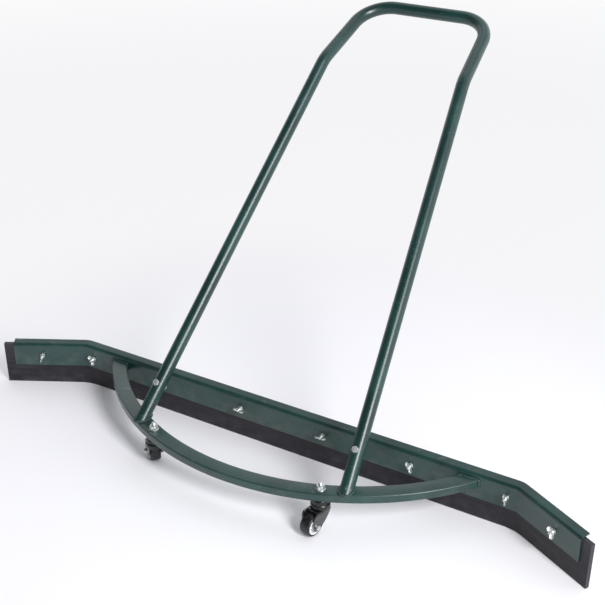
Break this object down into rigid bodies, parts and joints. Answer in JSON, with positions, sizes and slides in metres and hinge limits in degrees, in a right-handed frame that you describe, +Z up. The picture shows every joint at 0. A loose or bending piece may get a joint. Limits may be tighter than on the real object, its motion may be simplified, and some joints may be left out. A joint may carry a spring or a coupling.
{
  "type": "court squeegee",
  "caption": "Wide winged rubber squeegee for sports courts with a steel blade holder, a curved front bar, small swivel casters and a bent tube push handle.",
  "frame": {"origin": "middle of the rubber blade's lower edge, on the ground", "axes": "+X along the blade (right in a view from the front), -Y the way the squeegee is pushed, +Y towards the person who pushes it, +Z up"},
  "size_m": [1.4924, 0.9612, 0.86],
  "materials": {
    "green_paint": "satin",
    "zinc_plate": "satin",
    "bare_steel": "satin",
    "black_steel": "satin",
    "black_rubber": "matte",
    "black_tread": "matte",
    "white_nylon": "matte"
  },
  "bodies": {
    "frame": {"blade_bolt_1": "zinc_plate", "blade_bolt_2": "zinc_plate", "blade_bolt_3": "zinc_plate", "blade_bolt_4": "zinc_plate", "blade_bolt_5": "zinc_plate", "blade_bolt_6": "zinc_plate", "blade_bolt_7": "zinc_plate", "blade_bolt_8": "zinc_plate", "blade_holder": "green_paint", "bow_bar": "green_paint", "caster_cup_left": "black_steel", "caster_cup_right": "black_steel", "caster_nut_left": "zinc_plate", "caster_nut_right": "zinc_plate", "caster_stem_left": "zinc_plate", "caster_stem_right": "zinc_plate", "caster_washer_left": "zinc_plate", "caster_washer_right": "zinc_plate", "clamp_strip_left": "zinc_plate", "clamp_strip_main": "zinc_plate", "clamp_strip_right": "zinc_plate", "handle_bolt_left": "zinc_plate", "handle_bolt_right": "zinc_plate", "handle_nut_left": "zinc_plate", "handle_nut_right": "zinc_plate", "handle_spigot_left": "bare_steel", "handle_spigot_right": "bare_steel", "handle_stub_left": "green_paint", "handle_stub_right": "green_paint", "handle_tube": "green_paint", "rubber_blade": "black_rubber", "wing_nut_1": "zinc_plate", "wing_nut_2": "zinc_plate", "wing_nut_3": "zinc_plate", "wing_nut_4": "zinc_plate", "wing_nut_5": "zinc_plate", "wing_nut_6": "zinc_plate", "wing_nut_7": "zinc_plate", "wing_nut_8": "zinc_plate"},
    "caster_swivel_left": {"caster_axle_left": "zinc_plate", "caster_axle_nut_left": "zinc_plate", "caster_balls_left": "bare_steel", "caster_bush_left": "bare_steel", "caster_fork_left": "black_steel", "caster_race_left": "black_steel"},
    "caster_wheel_left": {"caster_hub_left": "white_nylon", "caster_tyre_left": "black_tread"},
    "caster_swivel_right": {"caster_axle_nut_right": "zinc_plate", "caster_axle_right": "zinc_plate", "caster_balls_right": "bare_steel", "caster_bush_right": "bare_steel", "caster_fork_right": "black_steel", "caster_race_right": "black_steel"},
    "caster_wheel_right": {"caster_hub_right": "white_nylon", "caster_tyre_right": "black_tread"}
  },
  "joints": [
    {"name": "swivel_left", "type": "hinge", "parent": "frame", "child": "caster_swivel_left", "pos_m": [-0.21, -0.198, 0.057], "axis": [0, 0, 1], "continuous": true},
    {"name": "wheel_spin_left", "type": "hinge", "parent": "caster_swivel_left", "child": "caster_wheel_left", "pos_m": [-0.23011, -0.17924, 0.025], "axis": [-0.682, -0.7314, 0], "continuous": true},
    {"name": "swivel_right", "type": "hinge", "parent": "frame", "child": "caster_swivel_right", "pos_m": [0.21, -0.198, 0.057], "axis": [0, 0, 1], "continuous": true},
    {"name": "wheel_spin_right", "type": "hinge", "parent": "caster_swivel_right", "child": "caster_wheel_right", "pos_m": [0.20428, -0.2249, 0.025], "axis": [0.9781, -0.2079, 0], "continuous": true}
  ]
}
